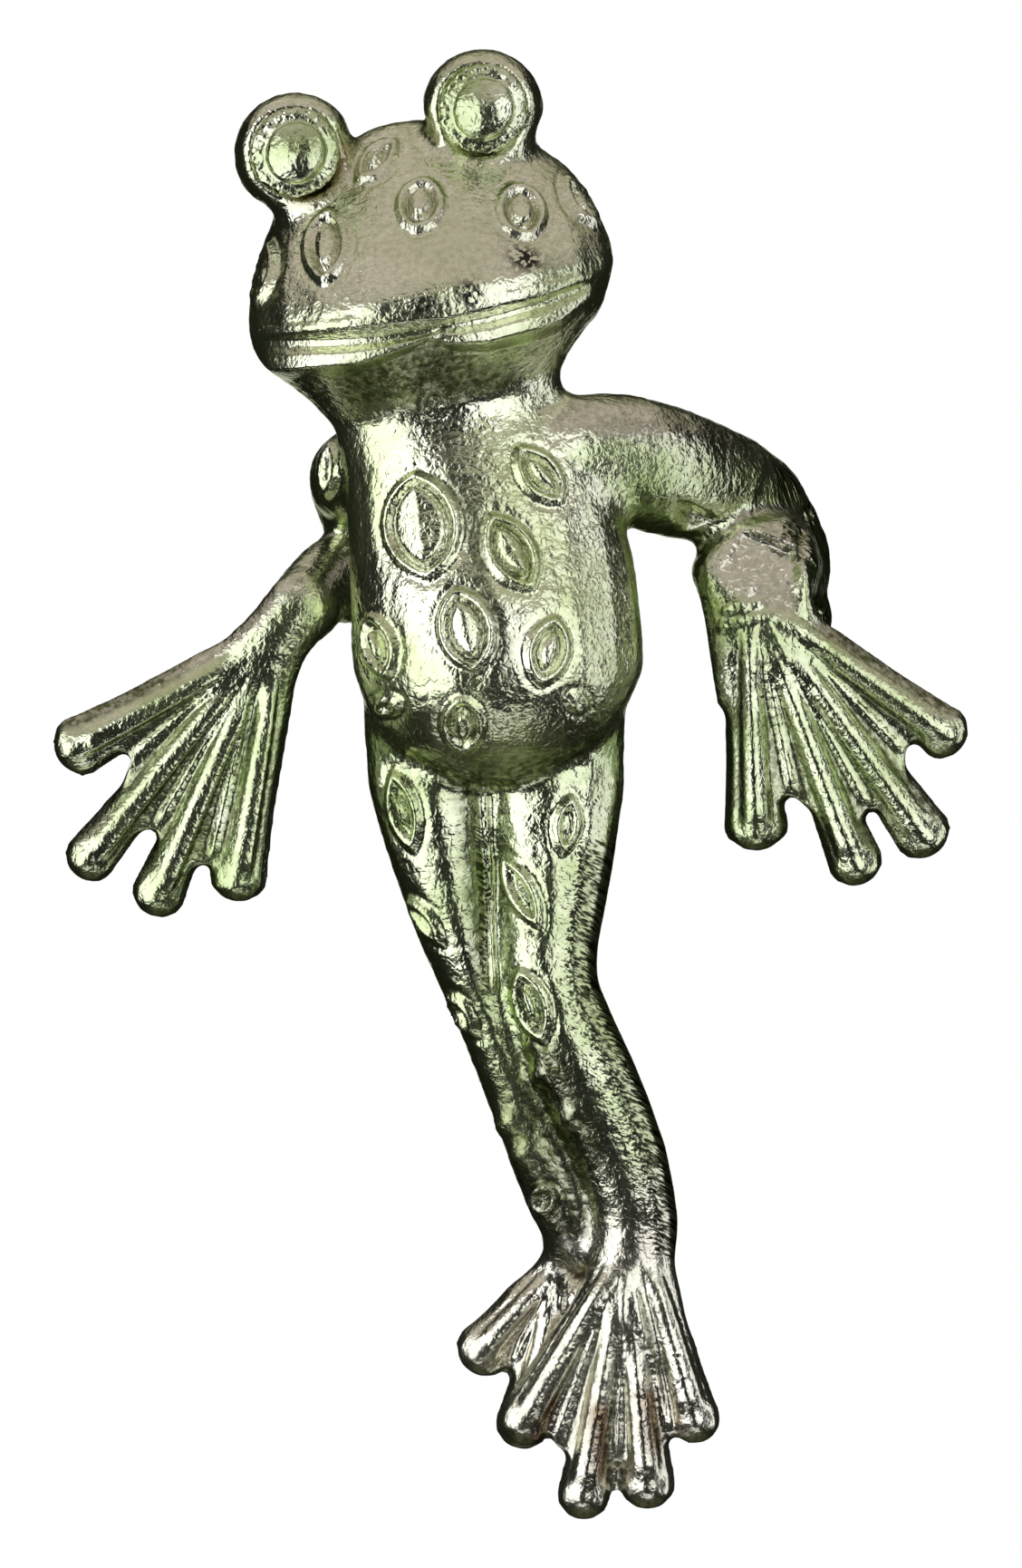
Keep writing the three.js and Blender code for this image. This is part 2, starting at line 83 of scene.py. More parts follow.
RUB_FORMS, RUB_DIGITS, RUB_STEP = 150, 16, 0.5  # passes of rubbing, and how far each one goes
RUB_EVEN = 12  # passes that even out where the rubbing acts, and what it takes off
PAW_ROOTS = {  # middle of each wrist and ankle
    "left_hand": (18.5, -2, 0.4), "right_hand": (-14.4, -2.1, -0.9),
    "left_foot": (9.8, -5.5, -43.2), "right_foot": (5.7, -3.4, -41.3),
}
DIGITS_FROM = (3.5, 6.5)  # mm from there, over which the broad forms give way to digits
FILLET_RUB, FILLET_CORE = 300, 0.5  # passes where two forms meet, and the share of each in full
FILLETS = (  # across, up and reach, seen from the front, of places that are rubbed into each other
    (17.9, -1.2, 6.5), (-14.9, -1.6, 5), (-2.3, 14.2, 9), (8.7, 10.5, 5.5), (9.6, -7.5, 4),
    (-8.7, -7.5, 4), (-0.2, 31, 4.6), (-11.4, 28.8, 4.6), (2.6, 32, 3), (-9.2, 31.2, 3),
    (9.2, -45.6, 6.5), (5.2, -44, 4.5), (-10.7, 3.3, 4.2),
)
PEBBLE, PEBBLE_HEIGHT = 0.8 * MM, 0.11 * MM  # the unevenness that the mould leaves
DIGIT_PEBBLES = 0.4  # share of that height on the digits
EVEN_TURN, EVEN_ACROSS, EVEN_DOWN = (0.25, 0.55), (4, 6), (12, 15)  # where a belt took them off
CREASE_REACH = 14  # passes of the mean that a crease is measured against


def only(piece):
    bpy.ops.object.select_all(action="DESELECT")
    piece.select_set(True)
    bpy.context.view_layer.objects.active = piece


def apply(piece, kind, **settings):
    only(piece)
    modifier = piece.modifiers.new(kind.lower(), kind)
    for key, value in settings.items():
        setattr(modifier, key, value)
    bpy.ops.object.modifier_apply(modifier=modifier.name)


def read(mesh, source="vertices", field="co", width=3, kind=np.float32):
    values = np.empty(len(getattr(mesh, source)) * width, kind)
    getattr(mesh, source).foreach_get(field, values)
    return values.reshape(-1, width)


def write(mesh, points):
    mesh.vertices.foreach_set("co", points.astype(np.float32).ravel())
    mesh.update()


def neighbour_mean(pairs, values):
    """For each point, the mean of a value over the points next to it."""
    count = len(values)
    ends, others = pairs.ravel(), pairs[:, ::-1].ravel()
    total = np.bincount(ends, values[others], count)
    return total / np.maximum(np.bincount(ends, minlength=count), 1)


def ease(low, high, values):
    """0 up to the low value, 1 from the high one on, and a soft rise between them."""
    share = np.clip((values - low) / (high - low), 0, 1)
    return share * share * (3 - 2 * share)


def weigh(piece, name, weights):
    group = piece.vertex_groups.new(name=name)
    for weight in np.unique(np.round(weights, 1)):
        members = np.flatnonzero(np.round(weights, 1) == weight).tolist()
        group.add(members, float(weight), "REPLACE")


bpy.ops.object.select_all(action="DESELECT")
copies = []
for name in CAST_NODES:
    copy = bpy.data.objects.new("casting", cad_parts[name].data.copy())
    bpy.context.scene.collection.objects.link(copy)
    only(copy)
    bpy.ops.object.mode_set(mode="EDIT")
    bpy.ops.mesh.select_all(action="SELECT")
    bpy.ops.mesh.remove_doubles(threshold=SAME_POINT)
    bpy.ops.object.mode_set(mode="OBJECT")
    apply(copy, "DISPLACE", strength=SWELL, mid_level=0)
    copies.append(copy)
only(copies[0])
for copy in copies:
    copy.select_set(True)
bpy.ops.object.join()
apply(copies[0], "REMESH", mode="VOXEL", voxel_size=SKIN_GRID)

# Closed pockets are left round the dowels, and only the outer skin is kept.
bpy.ops.object.mode_set(mode="EDIT")
bpy.ops.mesh.separate(type="LOOSE")
bpy.ops.object.mode_set(mode="OBJECT")
shells = sorted(bpy.context.selected_objects, key=lambda shell: len(shell.data.vertices))
casting = shells.pop()
for shell in shells:
    bpy.data.objects.remove(shell)
skin = casting.data
quads = read(skin, "polygons", "vertices", 4, np.int32)
pairs = read(skin, "edges", "vertices", 2, np.int32)

# Each face of the skin belongs to the solid that is nearest to it.
points = read(skin)
gaps = np.full((len(CAST_NODES), len(points)), FAR_GAP)
for index, name in enumerate(CAST_NODES):
    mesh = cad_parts[name].data
    solid = BVHTree.FromPolygons(
        [vertex.co for vertex in mesh.vertices], [face.vertices[:] for face in mesh.polygons]
    )
    overlap = WRIST_OVERLAP if name.endswith("hand") else 0
    low, high = (np.array(corner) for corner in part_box(name))
    margin = FAR_GAP + overlap
    near = np.all((points > low - margin) & (points < high + margin), 1)
    for k in np.flatnonzero(near):
        gaps[index, k] = min(solid.find_nearest(points[k])[3] - overlap, FAR_GAP)
    for _ in range(BORDER_EVEN):
        gaps[index] = neighbour_mean(pairs, gaps[index])
owner = gaps[:, quads].mean(2).argmin(0)

# Facets are rubbed out, harder on the broad forms than on the digits, and the metal that the
# rubbing takes off curved places is given back.
broad = np.ones(len(points))
for index, name in enumerate(CAST_NODES):
    if name in PAW_ROOTS:
        paw = np.unique(quads[owner == index])
        away = np.linalg.norm(points[paw] / MM - PAW_ROOTS[name], axis=1)
        broad[paw] = 1 - ease(*DIGITS_FROM, away)
for _ in range(RUB_EVEN):
    broad = neighbour_mean(pairs, broad)
weigh(casting, "broad", broad)
fillet = np.zeros(len(points))
for across, up, reach in FILLETS:
    away = np.hypot(points[:, 0] / MM - across, points[:, 2] / MM - up)
    fillet = np.maximum(fillet, 1 - ease(FILLET_CORE * reach, reach, away))
weigh(casting, "fillet", fillet)
apply(casting, "SMOOTH", factor=RUB_STEP, iterations=FILLET_RUB, vertex_group="fillet")
apply(casting, "SMOOTH", factor=RUB_STEP, iterations=RUB_DIGITS)
apply(casting, "SMOOTH", factor=RUB_STEP, iterations=RUB_FORMS, vertex_group="broad")
skin = casting.data
points, facing = read(skin), read(skin, "vertex_normals", "vector")
lost = np.zeros(len(points))
for axis in range(3):
    lost += (neighbour_mean(pairs, points[:, axis]) - points[:, axis]) * facing[:, axis]
for _ in range(RUB_EVEN):
    lost = neighbour_mean(pairs, lost)
lost *= RUB_STEP * (RUB_DIGITS + RUB_FORMS * broad)
write(skin, points - facing * (SWELL + lost)[:, None])

# The mould's pebbles lie all over it, apart from the linished outside of the left leg.
even = ease(*EVEN_TURN, facing[:, 0]) * ease(*EVEN_ACROSS, points[:, 0] / MM)
even *= ease(*EVEN_DOWN, -points[:, 2] / MM)
weigh(casting, "pebbled", np.maximum(broad, DIGIT_PEBBLES) * (1 - even))
pebbles = bpy.data.textures.new("pebbles", "CLOUDS")
pebbles.noise_scale = PEBBLE
apply(
    casting, "DISPLACE", texture=pebbles, texture_coords="LOCAL", strength=PEBBLE_HEIGHT,
    vertex_group="pebbled",
)
skin = casting.data
skin_points, skin_normals = read(skin), read(skin, "vertex_normals", "vector")
skin_hollow = np.zeros(len(skin_points))  # how deep each point lies in a crease, later painted olive as dirt and as shade
for axis in range(3):
    mean = skin_points[:, axis]
    for _ in range(CREASE_REACH):
        mean = neighbour_mean(pairs, mean)
    skin_hollow += (mean - skin_points[:, axis]) * skin_normals[:, axis] / MM

# Torso: the belly and chest, rounded to the front and flat behind where it lies on the pot.
# It comes from the mould with leaf-shaped spots, and is plated in silver under a thin green lacquer
# that has worn to olive in the hollows. Shade is painted in the same olive in its hollows, down the
# middle of the chest and under the belly.
TORSO_SPOTS = (  # across, up, width, length, lean in degrees
    (-4.6, 6.34, 5.3, 7.4, 7), (1.49, 4.53, 3.4, 6.0, 30), (3.42, 9.78, 2.8, 5.0, 38),
    (-1.55, -0.75, 3.9, 5.9, 14), (3.98, -2.17, 3.0, 4.8, -13), (-7.52, -1.8, 2.5, 4.7, 16),
    (-1.74, -7.14, 3.0, 3.9, 4), (6.02, -5.65, 1.4, 1.3, 0), (-6.89, -5.9, 1.8, 1.4, 0),
)
THROAT_SPOT, THROAT_SHARE = (-3.73, 14.72, 2.2, 2.4, 0), 0.5  # half as high as the others
SPOT_RINGS = (  # a rim and two grooves: how far in from the outline, height and half width
    (0.3, 0.38, 0.28), (0.8, -0.24, 0.22), (-0.25, -0.1, 0.25),
)
LEAF_EDGE, LEAF_HEIGHT, MIDRIB_HEIGHT = (0.75, 1.05), 0.1, 0.62
TORSO_SHADE = (  # painted shade down the chest and under the belly: line, depth and half width
    (((-2.9, 12.3), (-2.6, 9.8), (-1, 6.3), (-0.7, 2.9), (0.9, -1.5), (1.2, -4)), 0.45, 0.8),
    (((-8.5, -8.6), (-4, -10.4), (0, -10.9), (4, -10.2), (8.5, -8.2)), 0.6, 1.6),
)
HEM, HEM_EVEN = 0.5 * MM, 4  # where a piece is cut off, its edge is turned in by this
FRONT = (0.05, 0.4)  # how far a face has to turn to the front to carry relief
HOLLOW_DEPTH = 0.5  # mm, at which the painted dirt and shade are thickest
CLOUD, RIPPLE, FACET, FLAKE = 6 * MM, 0.5 * MM, 0.55 * MM, 0.45 * MM  # the plate's patterns
BELT_LINE = (0.24 * MM, 0.24 * MM, 6 * MM)  # coarser than the belt's grit, so that the lines show
FACET_HEIGHT, RIPPLE_HEIGHT, LINE_HEIGHT = 0.018 * MM, 0.08 * MM, 0.12 * MM
BELT_TAKES = 0.85  # share of the facets and ripples that it takes off
# The olive is dirt, and also painted shade in hollows, creases and places drawn darker.
BARE_PLATE_AND_ROOF_SHEEN, DULL_GRAIN, OLIVE_DIRT_AND_SHADE = "#E9E5D9", "#83866A", "#50552C"
BRONZE_DIRT, BELT_SCRATCH, BARE_ZINC = "#7A5A34", "#484A38", "#3A3638"
GRAIN_SHARE, DIRT_AND_SHADE_SHARE = 0.2, 0.75  # at most this much of their colour
ROUGH_LOW, ROUGH_HIGH, DIRT_DULLS = 0.14, 0.27, 0.12  # polished plate, and what dirt adds


def part_off(name, node):
    """A node's share of the skin as a new piece, its points in mm, where they face, their creases,
    and how many of them show. Where it was cut from its neighbours, its edge is turned inwards."""
    used, faces = np.unique(quads[owner == CAST_NODES.index(node)], return_inverse=True)
    faces = faces.reshape(-1, 4)
    points, facing = skin_points[used], skin_normals[used]
    sides = np.stack([faces, np.roll(faces, -1, 1)], 2).reshape(-1, 2)
    _, first, count = np.unique(
        np.sort(sides, 1), axis=0, return_index=True, return_counts=True
    )
    cut, rungs = np.unique(sides[first[count == 1]], return_inverse=True)
    rungs = rungs.reshape(-1, 2)
    hem = points[cut] - facing[cut] * HEM
    for _ in range(HEM_EVEN):
        hem = np.stack([neighbour_mean(rungs, hem[:, axis]) for axis in range(3)], 1)
    turned = len(points) + rungs
    hem_faces = np.stack([cut[rungs[:, 1]], cut[rungs[:, 0]], turned[:, 0], turned[:, 1]], 1)
    mesh = bpy.data.meshes.new(name)
    mesh.from_pydata(
        np.concatenate([points, hem]).tolist(), [], np.concatenate([faces, hem_faces]).tolist()
    )
    piece = bpy.data.objects.new(name, mesh)
    bpy.context.scene.collection.objects.link(piece)
    facing = np.concatenate([facing, facing[cut]])
    dirt_and_shade = np.concatenate([skin_hollow[used], np.zeros(len(hem))])
    return piece, read(mesh) / MM, facing, dirt_and_shade, len(points)


def ridge(distance, height, half):
    """A rounded ridge, or a groove where the height is negative, over the distance from its line."""
    return height * np.exp(-((distance / half) ** 2))


def leaf_spot(at, across, up, width, length, lean):
    """The relief of one spot: a raised rim between two grooves, and a leaf with a midrib."""
    turn = math.radians(lean)
    side, rise = at[:, 0] - across, at[:, 2] - up
    off_axis = np.abs(side * math.cos(turn) + rise * math.sin(turn))
    on_axis = np.abs(rise * math.cos(turn) - side * math.sin(turn))
    half, tip = width / 2, length / 2
    arc = (half * half + tip * tip) / (2 * half)
    beyond = (on_axis - tip) * (arc - half) > off_axis * tip
    edge = np.where(
        beyond, np.hypot(off_axis, on_axis - tip), np.hypot(off_axis + arc - half, on_axis) - arc
    )
    rings = sum(ridge(edge + inset, height, wide) for inset, height, wide in SPOT_RINGS)
    midrib = MIDRIB_HEIGHT * np.clip(1 - off_axis / half, 0, 1)
    return rings + ease(*LEAF_EDGE, -edge) * (LEAF_HEIGHT + midrib)


def from_line(at, *path):
    """How far each point is, as seen from the front, from the line through the given places."""
    distances = []
    for start, end in zip(np.array(path[:-1], float), np.array(path[1:], float)):
        run = end - start
        spots = at[:, (0, 2)] - start
        share = np.clip(spots @ run / (run @ run), 0, 1)
        distances.append(np.linalg.norm(spots - share[:, None] * run, axis=1))
    return np.min(distances, 0)


def drawn(at, rows):
    """Ridges, grooves or dirt along lines, each with its height and half width."""
    return sum(ridge(from_line(at, *line), height, half) for line, height, half in rows)


def paint(piece, name, values):
    attribute = piece.data.attributes.new(name, "FLOAT", "POINT")
    attribute.data.foreach_set("value", np.clip(values, 0, 1).astype(np.float32))


def finish_skin(piece, at, facing, dirt_and_shade, shown, relief, material):
    """Raises the relief, marks where dirt and painted shade lie, and closes the piece inside its
    turned-in edges.
    At those edges it is shaded as the whole casting, so that no seam shows."""
    mesh = piece.data
    relief = relief * ease(*FRONT, -facing[:, 1])
    relief[shown:] = 0
    write(mesh, (at + facing * relief[:, None]) * MM)
    pairs = read(mesh, "edges", "vertices", 2, np.int32)
    mean = relief
    for _ in range(CREASE_REACH):
        mean = neighbour_mean(pairs, mean)
    paint(piece, "dirt_and_shade", (dirt_and_shade + mean - relief) / HOLLOW_DEPTH)
    shading = read(mesh, "vertex_normals", "vector")
    edge = np.unique(pairs[(pairs < shown).any(1) & (pairs >= shown).any(1)])
    shading[edge] = facing[edge]
    only(piece)
    bpy.ops.object.mode_set(mode="EDIT")
    bpy.ops.mesh.select_all(action="SELECT")
    bpy.ops.mesh.fill_holes(sides=0)
    bpy.ops.mesh.select_all(action="DESELECT")
    bpy.ops.mesh.select_face_by_sides(number=4, type="GREATER")
    bpy.ops.mesh.quads_convert_to_tris(ngon_method="BEAUTY")
    bpy.ops.object.mode_set(mode="OBJECT")
    bpy.ops.object.shade_smooth()
    piece.data.normals_split_custom_set_from_vertices(shading.tolist())
    piece.data.materials.append(material)


def linear(colour):
    parts = [int(colour[k:k + 2], 16) / 255 for k in (1, 3, 5)]
    return [p / 12.92 if p <= 0.04045 else ((p + 0.055) / 1.055) ** 2.4 for p in parts] + [1]


def add(tree, kind, links, **settings):
    """A node with its settings, and a value or a link for each socket that is named or numbered.
    Map Range takes a value from sockets 1 and 2 to 3 and 4, and 6 and 7 are a Mix node's colours."""
    made = tree.nodes.new("ShaderNode" + kind)
    for key, value in settings.items():
        setattr(made, key, value)
    for socket, value in links.items():
        if isinstance(value, bpy.types.NodeSocket):
            tree.links.new(value, made.inputs[socket])
        else:
            made.inputs[socket].default_value = value
    return made


def plated_zinc(name, silver, lacquer, edge, crinkle=0.85, belt=(0.42, 0.85, -0.3)):
    """Cast zinc, silver plated and lacquered: a mirror on an uneven cast skin, so it glitters in
    small spots. The lacquer lies in clouds, and dirt and painted shade lie in the hollows. Linished
    places are ruled with fine lines the way the belt ran."""
    material = bpy.data.materials.new(name)
    material.use_nodes = True
    tree = material.node_tree
    shader = tree.nodes["Principled BSDF"]
    place = add(tree, "TexCoord", {}).outputs["Object"]
    marks = {
        mark: add(tree, "Attribute", {}, attribute_name=mark).outputs["Fac"]
        for mark in ("dirt_and_shade", "linished", "bare", "bronze", "worn")
    }

    # The patterns: clouds of lacquer, ripples of the cast skin, belt lines and flakes. Each Map
    # Range says where a noise between 0 and 1 starts to show, and where it shows in full.
    clouds = add(tree, "TexNoise", {"Vector": place, "Scale": 1 / CLOUD, "Detail": 3}).outputs[0]
    cloud = add(tree, "MapRange", {0: clouds, 1: 0.38, 2: 0.66}).outputs[0]
    ripples = add(tree, "TexNoise", {"Vector": place, "Scale": 1 / RIPPLE, "Detail": 2})
    ripple = ripples.outputs[0]
    grain = add(tree, "MapRange", {0: ripple, 1: 0.42, 2: 0.66, 4: GRAIN_SHARE}).outputs[0]
    # The hollow mark is dirt and painted shade: creases and places drawn darker turn olive.
    dirt_and_shade_mix = add(tree, "MapRange", {0: marks["dirt_and_shade"], 1: 0.3, 2: 1, 4: DIRT_AND_SHADE_SHARE}).outputs[0]
    specks = add(tree, "MapRange", {0: ripple, 1: 0.38, 2: 0.62, 3: 0.5, 4: 1.2}).outputs[0]
    dirt_and_shade_mix = add(tree, "Math", {0: dirt_and_shade_mix, 1: specks}, operation="MULTIPLY").outputs[0]
    turn = Vector((0, 0, 1)).rotation_difference(Vector(belt)).to_euler()
    along_belt = add(
        tree, "Mapping", {"Vector": place, "Rotation": turn, "Scale": BELT_LINE},
        vector_type="TEXTURE",
    ).outputs[0]
    lines = add(tree, "TexNoise", {"Vector": along_belt, "Scale": 1, "Detail": 1}).outputs[0]
    line = add(tree, "Math", {0: lines, 1: marks["linished"]}, operation="MULTIPLY").outputs[0]
    scratch = add(tree, "MapRange", {0: line, 1: 0.44, 2: 0.58}).outputs[0]
    flakes = add(tree, "TexNoise", {"Vector": place, "Scale": 1 / FLAKE, "Detail": 2}).outputs[0]
    flake = add(tree, "MapRange", {0: flakes, 1: 0.48, 2: 0.53}).outputs[0]
    flaked = add(tree, "Math", {0: flake, 1: marks["worn"]}, operation="MULTIPLY").outputs[0]

    # The colour: each layer lies over the ones before it
    # The bare mark is worn plate on the shins, and a painted reflection of the warm grey roof on
    # tops and crown that face up.
    layers = (
        (cloud, lacquer), (marks["bare"], BARE_PLATE_AND_ROOF_SHEEN), (grain, DULL_GRAIN), (dirt_and_shade_mix, OLIVE_DIRT_AND_SHADE),
        (marks["bronze"], BRONZE_DIRT), (scratch, BELT_SCRATCH), (flaked, BARE_ZINC),
    )
    colour = linear(silver)
    for share, tone in layers:
        mixed = add(tree, "Mix", {0: share, 6: colour, 7: linear(tone)}, data_type="RGBA")
        colour = mixed.outputs[2]
    tree.links.new(colour, shader.inputs["Base Color"])
    shader.inputs["Metallic"].default_value = 1
    shader.inputs["Specular Tint"].default_value = linear(edge)
    rough = add(
        tree, "MapRange", {0: clouds, 1: 0.3, 2: 0.7, 3: ROUGH_LOW, 4: ROUGH_HIGH}
    ).outputs[0]
    duller = add(
        tree, "Math", {0: dirt_and_shade_mix, 1: DIRT_DULLS, 2: rough}, operation="MULTIPLY_ADD"
    ).outputs[0]
    tree.links.new(duller, shader.inputs["Roughness"])

    # The unevenness: crinkled facets and ripples, and the belt's lines where it took those off
    shifted = add(
        tree, "VectorMath", {0: ripples.outputs["Color"], 1: (RIPPLE,) * 3, 2: place},
        operation="MULTIPLY_ADD",
    ).outputs[0]
    cells = add(
        tree, "TexVoronoi", {"Vector": shifted, "Scale": 1 / FACET}, feature="DISTANCE_TO_EDGE"
    ).outputs["Distance"]
    facet = add(tree, "MapRange", {0: cells, 1: 0, 2: 0.25}).outputs[0]
    cast = add(
        tree, "Math", {0: marks["linished"], 1: -BELT_TAKES, 2: 1}, operation="MULTIPLY_ADD"
    ).outputs[0]
    normal = None
    for height, distance, strength in (
        (facet, FACET_HEIGHT * crinkle, cast), (ripple, RIPPLE_HEIGHT * crinkle, cast),
        (line, LINE_HEIGHT, 1),
    ):
        bump = add(tree, "Bump", {"Height": height, "Distance": distance, "Strength": strength})
        if normal:
            tree.links.new(normal, bump.inputs["Normal"])
        normal = bump.outputs[0]
    tree.links.new(normal, shader.inputs["Normal"])
    return material


# Silver under thin green lacquer, on the pebbled belly: bright, with many small glints
belly_plate = plated_zinc(
    "pebbled_green_silver_plate", "#F2F4E0", "#D6E0B4", "#E4EECC", crinkle=0.8
)
torso, at, facing, dirt_and_shade, shown = part_off("torso_skin", "torso")
relief = sum(leaf_spot(at, *spot) for spot in TORSO_SPOTS)
relief += THROAT_SHARE * leaf_spot(at, *THROAT_SPOT)
# Painted shade: a dark band down the middle of the chest, and under the belly.
dirt_and_shade += drawn(at, TORSO_SHADE)
finish_skin(torso, at, facing, dirt_and_shade, shown, relief, belly_plate)
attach(torso, "frog")
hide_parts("torso")

# Legs: two legs cast side by side with a thin web of metal between the thighs, hanging straight
# down and swinging to the frog's left below the knee. The outer side of the left leg was linished.
LEG_SPOTS = (
    (-5.84, -13.04, 2.2, 5.8, 14), (5.3, -14, 1.9, 4.2, -8), (2.25, -18.6, 2.0, 5.7, 27),
    (2.92, -26.3, 2.5, 5.4, 18), (-4.35, -20.56, 1.4, 4.2, 37), (-1.86, -26.96, 1.5, 3.7, 35),
    (3.73, -39.57, 2.0, 2.2, 0),
)
LEG_WEB = ((-0.31, -11.5), (0.31, -25.2))
WEB_RIDGE = ((LEG_WEB, 0.45, 0.2),)  # line, height and half width
WEB_REACH = 0.75  # mm beside that line, so that its ridge stays whole, on the left leg
# Painted shade beside the web between the thighs and over the lower legs: line, depth and half width
LEG_SHADE = (
    (((-1.7, -11), (-1.2, -18), (-0.6, -25.2)), 0.45, 1.0), (((3.6, -30.6), (6.2, -36)), 0.75, 2.3),
    (((3.4, -38), (5, -41)), 0.75, 1.8), (((1, -33), (3, -37)), 0.35, 1.5),
)
LEG_LUMPS, LEG_LUMP = ((0.93, -34.53), (5.47, -34.04), (3.2, -31.2), (2.2, -36.6)), (0.4, 0.9)
SHIN_WORN = (-43, -34)  # heights between which the lacquer wears off
LINISHED_TURN, LINISHED_TOP = (0.1, 0.45), (-16, -12)


def lumps(at, places, height, half):
    """The same round lump at each of the given places."""
    return sum(ridge(np.hypot(at[:, 0] - x, at[:, 2] - z), height, half) for x, z in places)


legs = [CAST_NODES.index("left_leg"), CAST_NODES.index("right_leg")]
on_web = from_line(skin_points[quads[:, 0]] / MM, *LEG_WEB) < WEB_REACH
on_web &= np.isin(owner, legs) & (skin_normals[quads[:, 0], 1] < 0)
owner[on_web] = legs[0]
# More lacquer on a smoother skin: greener, and more of a mirror
leg_plate = plated_zinc("smooth_green_plate", "#E2EACD", "#C2D29C", "#DCEABE", crinkle=0.7)
for side in ("left", "right"):
    leg, at, facing, dirt_and_shade, shown = part_off(side + "_leg_skin", side + "_leg")
    relief = sum(leaf_spot(at, *spot) for spot in LEG_SPOTS)
    relief += drawn(at, WEB_RIDGE)
    relief += lumps(at, LEG_LUMPS, *LEG_LUMP)
    dirt_and_shade += drawn(at, LEG_SHADE)
    paint(leg, "bare", 1 - ease(*SHIN_WORN, at[:, 2]))
    if side == "left":
        outside = ease(*LINISHED_TURN, facing[:, 0]) * (1 - ease(*LINISHED_TOP, at[:, 2]))
        paint(leg, "linished", outside)
    finish_skin(leg, at, facing, dirt_and_shade, shown, relief, leg_plate)
    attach(leg, "frog")
    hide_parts(side + "_leg")

# Feet: four webbed toes each, flattened in the mould, with the web gathered into thin folds.
# The lacquer has worn off them, so they show warm nickel, with bronze dirt between the toes.
FEET = {  # ankle; turn in degrees, length and shift of each toe; the same for the web's notches
    "left": ((9.3, -42.9), ((-30.2, 15.5, 0), (-9.6, 18.9, 0), (5.4, 18.1, 0), (16, 13.9, 1.4)),
             ((-20, 14.2, 0), (-2, 14.6, 0), (13, 13.4, 0))),
    "right": ((5.1, -43.9), ((-42, 10.2, 0), (-14.1, 13.4, 0), (8, 13.5, 0), (26, 11, 0)),
              ((-26, 8.2, 0), (-3, 11.2, 0), (17, 10.6, 0))),
}
DIGIT_RIDGE = ((-1.25, 0), (-0.7, 0.45), (0, 0.65), (0.7, 0.45), (1.25, 0))  # aside, and height
DIGIT_START, DIGIT_END = (0.04, 0.3), (3.4, 1.8)  # shares of its length; mm before its tip
DIGIT_TAPER = 0.5  # a digit's width at its root against that at its tip
PAD_BACK, PAD = 1.5, (0.45, 1.2)  # mm from the tip; height and half width
FOLD_START, FOLD_END = (0.15, 0.4), 1.5  # shares of its length; mm before its notch
FOLD_HEIGHT, FOLD_HALF = 0.35, 0.34
FOLD_TWIST, TWIST_HEIGHT = 0.6, 0.03  # mm from one twist of a fold's edge to the next
PALM, CLEAN_RELIEF = (4, 7), 0.3  # mm from its root where the web starts; relief that is left without the painted dirt and shade
TOE_WEB_DIRT_AND_SHADE = 0.1
BRONZE_LINES = (
    (((4.3, -53.4), (3.3, -55.6)), 0.85, 0.6), (((7.6, -54), (7.5, -58.2)), 0.85, 0.6),
    (((10.8, -53), (11.3, -56.4)), 0.85, 0.6),
)


def paw_relief(at, root, digits, notches, profile):
    """A ridge along each digit with a round pad at its tip, and a fold to each notch of the web."""
    relief = np.zeros(len(at))
    for turn, length, shift in digits + notches:
        way = np.array([math.sin(math.radians(turn)), -math.cos(math.radians(turn))])
        spots = at[:, (0, 2)] - root - (shift, 0)
        along = spots @ way
        aside = spots @ (-way[1], way[0])
        if (turn, length, shift) in notches:
            fold = ease(FOLD_START[0] * length, FOLD_START[1] * length, along)
            fold *= 1 - ease(length - FOLD_END, length, along)
            rope = FOLD_HEIGHT + TWIST_HEIGHT * np.sin(along * 2 * math.pi / FOLD_TWIST)
            relief += fold * rope * ridge(aside, 1, FOLD_HALF)
            continue
        share = np.clip(along / length, 0, 1)
        bone = ease(*DIGIT_START, share)
        bone *= 1 - ease(length - DIGIT_END[0], length - DIGIT_END[1], along)
        taper = DIGIT_TAPER + (1 - DIGIT_TAPER) * share
        relief += bone * np.interp(aside / taper, *zip(*profile))
        relief += ridge(np.hypot(aside, along - length + PAD_BACK), *PAD)
    return relief


def web_dirt_and_shade(at, root, relief, depth):
    """Between the digits, the web and the digits' flanks are painted darker, as dirt and as shade.
    """
    away = np.hypot(at[:, 0] - root[0], at[:, 2] - root[1])
    return depth * ease(*PALM, away) * (1 - np.clip(relief / CLEAN_RELIEF, 0, 1))


# Nickel, where silver and lacquer have worn off: warm, white and smooth
nickel_plate = plated_zinc("worn_nickel_plate", "#F8F4EA", "#EAE8D8", "#F0F0E2", crinkle=0.6)
for side, (root, toes, notches) in FEET.items():
    foot, at, facing, dirt_and_shade, shown = part_off(side + "_foot_skin", side + "_foot")
    relief = paw_relief(at, root, toes, notches, DIGIT_RIDGE)
    dirt_and_shade += web_dirt_and_shade(at, root, relief, TOE_WEB_DIRT_AND_SHADE)
    if side == "left":
        paint(foot, "bronze", drawn(at, BRONZE_LINES))
    finish_skin(foot, at, facing, dirt_and_shade, shown, relief, nickel_plate)
    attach(foot, "frog")
    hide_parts(side + "_foot")

